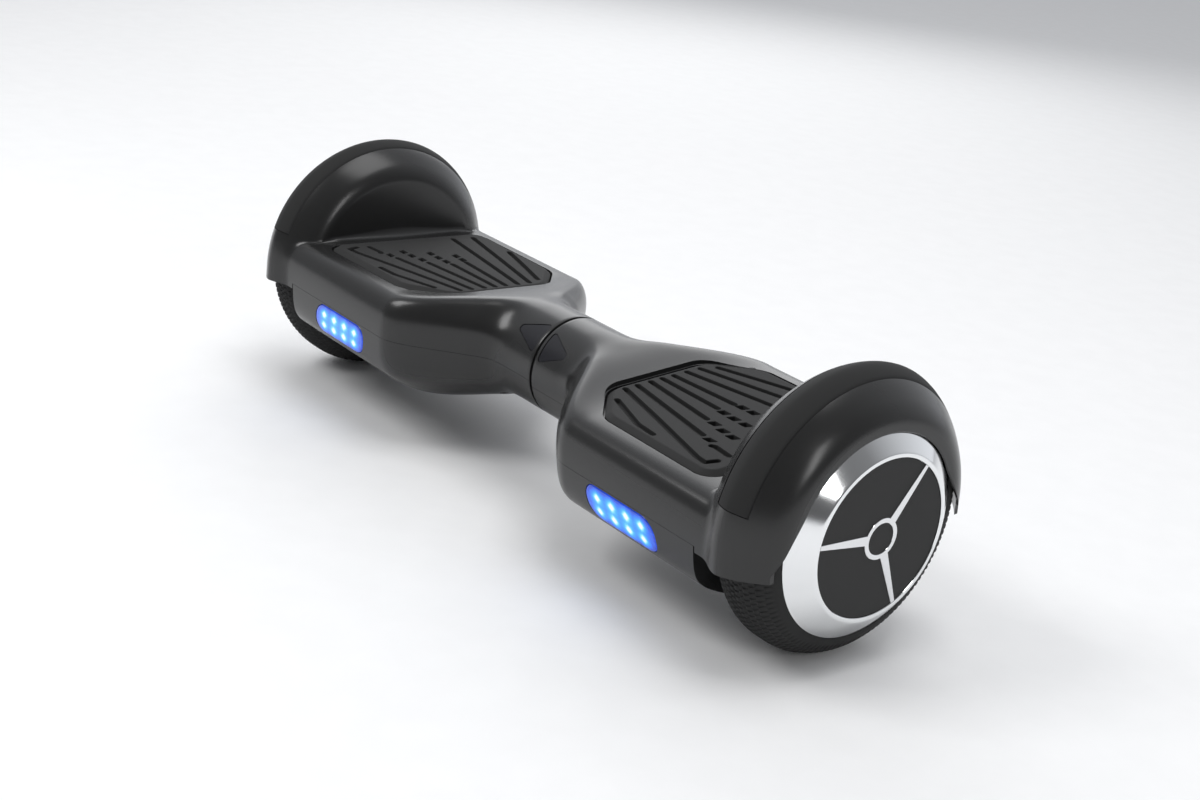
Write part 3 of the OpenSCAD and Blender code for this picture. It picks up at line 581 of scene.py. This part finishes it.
def ring_angles():
    """Angles of a ring of points, set off a little so that none lies on a flat of another piece."""
    return np.arange(288) * 2 * math.pi / 288 + 0.0021


def body_solid(name, from_x, to_x, inset, edge=0.0):
    """The body between two stations, drawn in by inset, with its first edge rounded off."""
    angles = ring_angles()
    steps = np.concatenate([[from_x], np.arange(max(from_x, 0) + 1.5, 20, 2.5),
                            np.arange(22, 132, 2.0), np.arange(134, to_x - 1, 6.0), [to_x]])
    steps = steps[(steps >= from_x) & (steps <= to_x)]
    rows = [section_radius(x, angles, inset) for x in steps]
    if edge:
        starts = [(0, edge), (0.25 * edge, 0.3 * edge), (edge, 0)]
        rows = [section_radius(from_x, angles, inset) - drop for _, drop in starts] + rows[1:]
        steps = np.concatenate([[from_x + d for d, _ in starts], steps[1:]])
    return polar(name, np.asarray(steps)[:, None], np.asarray(rows), angles)


def skirt(radius, angles):
    """A radius that runs straight down below the axle line."""
    low = np.minimum(np.abs(np.cos(angles)), 1.0)
    low = np.where(np.sin(angles) < 0, np.maximum(low, math.cos(math.radians(26))), 1.0)
    return radius / low


def top_solid():
    """The outside of a top shell: the body, the fender's wall, its crown and its outer face."""
    angles = ring_angles()
    side = section_radius(FENDER_WALL, angles)
    high = crown(FENDER_WALL)
    fillet = 8.0 * np.clip((high - side) / 16, 0, 1)
    xs, rs = [], []

    def row(x, r):
        xs.append(np.broadcast_to(x, angles.shape))
        rs.append(np.broadcast_to(r, angles.shape))

    for x, drop in ((1, 1.0), (1.25, 0.3), (2.0, 0)):
        row(x, section_radius(x, angles) - drop)
    for x in np.concatenate([np.arange(4, 20, 2.5), np.arange(21, 132, 2.0),
                             np.arange(135, 214, 6.0)]):
        row(x, section_radius(x, angles))
    for t in np.linspace(0, 1, 9):
        turn = t * math.pi / 2
        row(FENDER_WALL - fillet * (1 - math.sin(turn)), side + fillet * (1 - math.cos(turn)))
    below = high - 6.5
    for t in np.linspace(0.12, 1, 7):
        climb = (side + fillet) + t * (np.maximum(below, side + fillet) - (side + fillet))
        row(FENDER_WALL, np.maximum(climb, side))
    knee = bezier((FENDER_WALL, below), (FENDER_WALL, high),
                  (FENDER_WALL + 6, crown(FENDER_WALL + 6)), 9)
    for x, r in knee[1:]:
        row(x, blend_max(side, skirt(r, angles)))
    for x in np.arange(FENDER_WALL + 7.5, CROWN_X, 1.5):
        row(x, blend_max(side, skirt(crown(x), angles)))
    for x in np.arange(CROWN_X, FENDER_FACE - 6.5, 1.5):
        row(x, skirt(crown(x), angles))
    last = FENDER_FACE
    knee = bezier((last - 6, crown(last - 6)), (last, crown(last)), (last, crown(last) - 6.5), 10)
    for x, r in knee:
        row(x, skirt(r, angles))
    for r in (64, 55, 30, 5):
        row(last, skirt(r, angles))
    return polar("top_shell", np.asarray(xs), np.asarray(rs), angles)


PAD_CORNERS = [
    [110, 30, 21.7], [127, 48.5, 19], [206, 56.5, 12],
    [206, -56.5, 12], [127, -48.5, 19], [110, -30, 21.7],
]
GROOVES = [
    [[102, 41], [130, 50], [165, 60.5]],
    [[97, 30], [146, 41], [205, 54]],
    [[96.5, 19], [156, 28.5], [206, 36]],
    [[96.5, 8], [151, 11]],
    [[96, -1.5], [150, -2]],
    [[96, -11], [158, -18]],
    [[96, -22], [174, -35]],
    [[96, -32], [140, -43], [194, -57.5], [203, -58.5], [205.5, -51]],
    [[106.5, -47], [140, -58.5], [157, -60]],
    [[156.5, 11.5], [158.5, 12.5]], [[166, 12], [168, 13]],
    [[156, -3.5], [158, -2.5]], [[166, -4], [168, -3]], [[176.5, -4], [178.5, -3]],
    [[165, -19], [167, -18]], [[175.5, -21.5], [177.5, -20.5]], [[185.5, -22.5], [187.5, -21.5]],
    [[180.5, -36.5], [183, -36]], [[188.5, -40.5], [190.5, -39.5], [204, -41]],
]
TRIM_START, TRIM_END, TRIM_ANGLE = CROWN_X - 10.5, CROWN_X + 12.5, math.radians(18)


def below_shell():
    """What the top shell leaves to the bottom shell, and the room under the skirts."""
    level = PARTING + 0.1
    inner = FENDER_WALL + 3.6
    corner = [(-20, level), (inner, level), (inner, SKIRT), (320, SKIRT), (320, -200), (-20, -200)]
    return loft("cut", [np.array([(x, y, z) for x, z in corner]) for y in (-150, 150)])


def wheel_room():
    """The hollow that a fender leaves round its wheel."""
    angles = ring_angles()
    xs = np.concatenate([[FENDER_WALL + WALL], np.arange(232, 283, 2.5), [FENDER_FACE - WALL]])
    rows = []
    for x in xs:
        slope = CROWN_POWER * CROWN_FALL * abs(x - CROWN_X) ** (CROWN_POWER - 1)
        rows.append(skirt(crown(x) - 2.2 * math.sqrt(1 + slope * slope), angles))
    return polar("cut", xs[:, None], np.asarray(rows), angles)


def flange_opening():
    """The round-topped opening in a fender's outer face, with its edge broken."""
    turn = np.radians(np.linspace(24, 156, 81))
    arc = np.column_stack([np.cos(turn), np.sin(turn)])
    rings = []
    for x, radius, flare in ((FENDER_FACE - WALL - 1, 65.5, 0), (FENDER_FACE - 1.4, 63.4, 0),
                             (FENDER_FACE - 0.5, 63.0, 0.0), (FENDER_FACE - 0.1, 63.5, 0.4),
                             (FENDER_FACE + 0.3, 64.2, 1.1)):
        sides = [(74 + flare, 0), (82 + flare, -14), (-82 - flare, -14), (-74 - flare, 0)]
        flat = [sides[1], sides[0]] + [tuple(p) for p in arc * radius] + [sides[3], sides[2]]
        rings.append(np.array([(x, y, z) for y, z in flat]))
    return loft("cut", rings)


def trim_strip(start, end, low, high, half, round_to=0.0):
    """A strip over the crown of the fender, from one end angle to the other."""
    along = np.linspace(half, math.pi - half, 200)
    across = np.linspace(start, end, 26)
    top = crown(across) + high
    if round_to:
        reach = np.minimum(across - start, end - across)
        top = top - round_to * np.clip(1 - reach / (2 * round_to), 0, 1) ** 2
    profile = [(x, r) for x, r in zip(across, top)] + [(x, crown(x) - low) for x in across[::-1]]
    rings = []
    for a in along:
        rings.append(np.array([(x, r * math.cos(a), r * math.sin(a)) for x, r in profile]))
    return loft("trim", rings)


WINDOW_CORNERS = [[6, -9, 2], [6, 9, 2], [24, 0, 3]]
WINDOW_TURN = Matrix.Rotation(math.radians(50), 4, "X")


def window_prism(grow):
    return move(stack("cut", WINDOW_CORNERS, [(20, grow), (60, grow)], 96), WINDOW_TURN)


def window_cutter(grow, inner):
    """A recess for the indicator window, down to the inner radius."""
    piece = window_prism(grow)
    core = turned("core", [(inner, -10), (inner, 60)], 288, closed=False)
    return combine(piece, [core])


def front_frame(x, height, rear=False):
    """Matrix of a flat laid on the leaning side, +Z outwards and +Y up the side."""
    tilt = math.radians(SIDE_TILT)
    reach = BODY_HALF_WIDTH - SIDE_INSET + (height - SIDE_MIDDLE) * math.tan(tilt)
    flat = Matrix.Translation((x, -reach, height)) @ Matrix.Rotation(math.pi / 2 + tilt, 4, "X")
    return Matrix.Scale(-1, 4, (0, 1, 0)) @ flat if rear else flat


LENS_AT = (163.5, -19)
LENS_LENGTH, LENS_HEIGHT, LENS_SLANT = 66, 23, 5
LAMP_PITCH = (14, 9)
# Station, sideways place and seat height of each shell screw
SCREWS = [(x, y * side, seat) for x, y, seat in ((52, 14, -31), (134, 60, -39), (200, 60, -39))
          for side in (-1, 1)]
CONTROL_STATIONS = (118, 158)


def lens_ring(grow, height, count=30):
    """The slanted round-ended outline of the lens, lying on the side of the body."""
    radius = LENS_HEIGHT / 2 - 1
    reach = LENS_LENGTH / 2 - radius
    ring = []
    for sx, sy, start in ((1, 1, 0), (-1, 1, 90), (-1, -1, 180), (1, -1, 270)):
        for k in range(count + 1):
            a = math.radians(start + 90 * k / count)
            x = sx * reach + (radius + grow) * math.cos(a)
            y = sy + (radius + grow) * math.sin(a)
            sunk = 0.9 * (y / (LENS_HEIGHT / 2)) ** 2
            ring.append((x - LENS_SLANT * y / LENS_HEIGHT, y, height - sunk))
    return np.array(ring)


def top_shell():
    """Deck, shoulders, half of the neck and the fender, hollow from below."""
    shell = top_solid()
    room = body_solid("cut", -1, FENDER_WALL, WALL)
    tray = stack("cut", PAD_CORNERS, [(17.3, 3.3), (60, 3.3)])
    room = combine(room, [tray])
    recess = stack("cut", PAD_CORNERS, [(19.7, 1.3), (DECK - 0.5, 1.3), (DECK - 0.2, 1.4),
                                        (DECK + 0.02, 1.75), (60, 1.8)], 240)
    channel = trim_strip(TRIM_START - 0.35, TRIM_END + 0.35, 1.4, 5, TRIM_ANGLE - 0.005)
    around = np.radians(np.arange(0, 360, 7.5))
    y, z = 14 * np.cos(around), 14 * np.sin(around)
    z = np.where(np.sin(around) < -0.01, z - 60, z)
    slot = loft("cut", [np.column_stack([np.full(len(y), x), y, z]) for x in (222, 237)])
    cuts = [room, wheel_room(), below_shell(), flange_opening(), recess, channel, slot,
            window_cutter(0.3, NECK_RADIUS - 1.5)]
    return shade(combine(shell, cuts))


def bottom_shell(rear):
    """The belly with its lens opening, screw wells and, on one half, the holes for the controls."""
    shell = body_solid("bottom_shell", 1, 230.6, 0, 1.0)
    room = body_solid("cut", -1, FENDER_WALL, WALL)
    bosses = [stack("cut", [[x, y, 7]], [(-70, 0), (seat, 0)], 40) for x, y, seat in SCREWS]
    room = combine(room, bosses)
    level = PARTING - 0.1
    lid = loft("cut", [np.array([(-20, y, level), (320, y, level), (320, y, 200), (-20, y, 200)])
                       for y in (-150, 150)])
    bore = turned("cut", [(14, 222), (14, 240)], 64, closed=False)
    wells = [stack("cut", [[x, y, 4.6]], [(-90, 0), (seat, 0)], 40) for x, y, seat in SCREWS]
    pins = [stack("cut", [[x, y, 2.3]], [(-90, 0), (-10, 0)], 24) for x, y, _ in SCREWS]
    window = loft("cut", [lens_ring(grow, height) for height, grow in
                          ((-9, 0.3), (-0.5, 0.3), (-0.15, 0.45), (0.1, 0.8), (8, 1.0))])
    move(window, front_frame(*LENS_AT))
    cuts = [room, lid, bore, window] + wells + pins
    if rear:
        for x in CONTROL_STATIONS:
            hole = stack("cut", [[0, 0, 9.2]], [(-9, 0), (8, 0)], 64)
            cuts.append(move(hole, front_frame(x, SIDE_MIDDLE, rear=True)))
    return shade(combine(shell, cuts))


def foot_pad():
    """A rubber pad with a bevelled rim and fanned grooves, and a map of how deep each point lies, which
    paints shade into the grooves.
    """
    low, top = PAD_TOP - 6, PAD_TOP
    levels = [(low, -0.4), (low + 0.3, 0), (top - 3.2, 0), (top - 2.85, -0.15), (top - 2.6, -0.5),
              (top - 0.35, -3.7), (top - 0.1, -4.2), (top, -4.8), (top, -5.4)]
    pad = stack("foot_pad", PAD_CORNERS, levels, 240)
    cuts = []
    half = 2.1
    for number, line in enumerate(GROOVES):
        dash = number > 8
        for a, b in zip(line, line[1:]):
            lift = 0.003 * (len(cuts) % 7)
            ends = [[*a, half], [*b, half]]
            if dash and len(line) == 2:
                ends = [[a[0] - 2.7, a[1] - 1.7, 0.5], [a[0] + 3.1, a[1] - 1.7, 0.5],
                        [b[0] + 2.7, b[1] + 1.7, 0.5], [b[0] - 3.1, b[1] + 1.7, 0.5]]
            steps = [(top - 3.2 + lift, -0.35), (top - 2.9 + lift, 0.0), (top - 0.45, 0.0),
                     (top - 0.2, 0.1), (top + 0.02, 0.38), (top + 2, 0.4)]
            cuts.append(stack("cut", ends, steps, 40))
    mesh = combine(pad, cuts).data
    # The groove map paints shade: in the pad's middle the finish darkens towards near black and dulls where
    # a point lies below the top
    layer = mesh.uv_layers.new(name="groove")
    for face in mesh.polygons:
        inner = all(abs(mesh.vertices[v].co.x - 160) < 52 for v in face.vertices)
        for corner in face.loop_indices:
            spot = mesh.vertices[mesh.loops[corner].vertex_index].co
            depth = min(1, max(0, (top - 0.3 - spot.z) / 0.5))
            layer.data[corner].uv = (depth if inner else 0, 0)
    return shade(pad, 38)


def fender_trim():
    """The grained strip over the crown, its edges rounded."""
    strip = trim_strip(TRIM_START, TRIM_END, 1.15, 0, TRIM_ANGLE, 0.7)
    return shade(strip, 50)


def tyre():
    """Rubber with rows of small blocks over the crown and plain, ribbed sidewalls."""
    steps = 1080
    angles = np.arange(steps) * 2 * math.pi / steps
    inner, outer = HUB_FACE - 58, HUB_FACE - 10
    centre = TYRE_RADIUS - 21
    profile = [(66.02, inner + 3), (63.5, inner)]
    for t in np.radians(np.linspace(-90, 0, 26)):
        profile.append((centre + 21 * math.cos(t), inner + 21 + 21 * math.sin(t)))
    profile += [(TYRE_RADIUS, x) for x in np.linspace(inner + 21.6, outer - 21.6, 9)]
    for t in np.radians(np.linspace(0, 80, 24)):
        profile.append((centre + 21 * math.cos(t), outer - 21 + 21 * math.sin(t)))
    profile += [(67.55, outer - 1.1), (66.02, outer - 1.1)]
    profile = np.asarray(profile)
    rows = []
    for r, x in profile:
        across = (x - (inner + outer) / 2) / 3.4
        row = math.floor(across + 0.5)
        drop = np.zeros(steps)
        if r > 71.5:
            wave = (angles / (2 * math.pi) * 120 + 0.5 * (row % 2)) % 1
            notch = (np.abs(wave - 0.5) < 0.17) * 1.0
            rib = 1.0 if abs(across - row) > 0.36 else 0.0
            fade = min(1.0, (r - 71.5) / 3)
            drop = np.maximum(notch, rib) * 0.8 * fade
        rows.append(r - drop)
    piece = polar("tyre", profile[:, 1:], np.asarray(rows), angles, closed=True)
    return shade(piece, 30)


def rim_cover():
    """The bright bevelled ring between the tyre and the disc."""
    face = HUB_FACE
    back = HUB_FACE - 10.8
    profile = [(DISC_RADIUS + 0.1, face - 0.3), (DISC_RADIUS + 0.4, face)]
    profile += [(LIP_RADIUS - 0.4, face), (LIP_RADIUS + 0.15, face - 0.15)]
    for t in np.linspace(0.06, 0.94, 14):
        bulge = 0.5 * math.sin(math.pi * t)
        profile.append((mix(LIP_RADIUS, COVER_RADIUS, t), mix(face, face - 10.3, t) + bulge * 0.3))
    profile += [(COVER_RADIUS, face - 10.3), (COVER_RADIUS, back), (61.3, back),
                (LIP_RADIUS - 1, face - 4), (LIP_RADIUS - 1, back), (46, back), (46, face - 4),
                (DISC_RADIUS + 0.1, face - 4)]
    return shade(turned("rim_cover", profile, 240), 20)


def hub_disc():
    face = HUB_FACE - 0.6
    profile = [(0.01, face - 3.2), (DISC_RADIUS, face - 3.2), (DISC_RADIUS, face - 0.4),
               (DISC_RADIUS - 0.4, face)]
    profile += [(r, face) for r in (49, 35, 20, 13.5, 9.8, 5, 0.01)]
    return shade(turned("hub_disc", profile, 192, closed=False), 20)


def hub_spokes():
    """Three tapered spokes and a ring, with softened edges."""
    low, high = HUB_FACE - 0.6, HUB_FACE
    ring = turned("hub_spokes", [(10, low), (10, high - 0.2), (10.2, high), (12.9, high), (13.1, high - 0.2),
                                 (13.1, low)], 120)
    spokes = []
    for number, angle in enumerate((50, 170, 290)):
        rings = []
        for z, inset in ((low + 0.001 * number, 0), (high - 0.2, 0), (high - 0.0005 * number, 0.2)):
            flat = [(12.1 + inset, -3.1 + inset), (DISC_RADIUS - 0.02, -1.5 + inset),
                    (DISC_RADIUS - 0.02, 1.5 - inset), (12.1 + inset, 3.1 - inset)]
            c, s = math.cos(math.radians(angle)), math.sin(math.radians(angle))
            rings.append(np.array([(z, c * a - s * b, s * a + c * b) for a, b in flat]))
        spokes.append(loft("spoke", rings))
    return shade(combine(ring, spokes, "UNION"), 25)


def light_lens():
    """A moulded lens with a crowned face, and a map that counts lamp pitches on it."""
    levels = [(-3.4, -0.2), (-3.2, 0), (-1.3, 0)]
    for t in np.radians(np.linspace(12, 78, 6)):
        levels.append((-1.3 + 1.1 * math.sin(t), -1.4 * (1 - math.cos(t))))
    levels += [(-0.18, -2.2), (-0.14, -4), (-0.1, -6), (-0.08, -8), (-0.06, -10.3)]
    piece = loft("light_lens", [lens_ring(grow, height) for height, grow in levels])
    mesh = piece.data
    layer = mesh.uv_layers.new(name="lens")
    for loop in mesh.loops:
        spot = mesh.vertices[loop.vertex_index].co
        along = spot.x + LENS_SLANT * spot.y / LENS_HEIGHT
        layer.data[loop.index].uv = (along / LAMP_PITCH[0], spot.y / LAMP_PITCH[1])
    move(piece, front_frame(*LENS_AT))
    return shade(piece, 40)


def indicator_window():
    piece = turned("window", [(34.6, 2), (34.6, 40), (35.6, 40), (35.6, 2)], 288)
    return shade(combine(piece, [window_prism(-0.15)], "INTERSECT"), 30)


make_camera()
make_studio()

both_sides(top_shell(), "top_shell", "shell_plastic")
for side in SIDES:
    part = bottom_shell(rear=side == "left")
    place(part, side, side + "_bottom_shell_skin", side + "_bottom_shell", "shell_plastic")
    bpy.data.objects.remove(part)
both_sides(foot_pad(), "foot_pad", "pad_rubber")
both_sides(fender_trim(), "fender_trim", "textured_rubber")
both_sides(tyre(), "tyre", "tyre_rubber")
both_sides(rim_cover(), "rim_cover", "chrome_trim")
both_sides(hub_disc(), "hub_disc", "disc_plastic")
both_sides(hub_spokes(), "hub_spokes", "satin_trim")
both_sides(light_lens(), "light_lens", "blue_lens")
both_sides(indicator_window(), "indicator_window", "dark_window")

slots = {part["node"]: part["material_slot"] for part in frame["record"]["subparts"]}
for name, node in NODES.items():
    finish = finish_of(slots[name])
    if not node.material_slots:
        node.data.materials.append(finish)
    for spot in node.material_slots:
        spot.material = finish
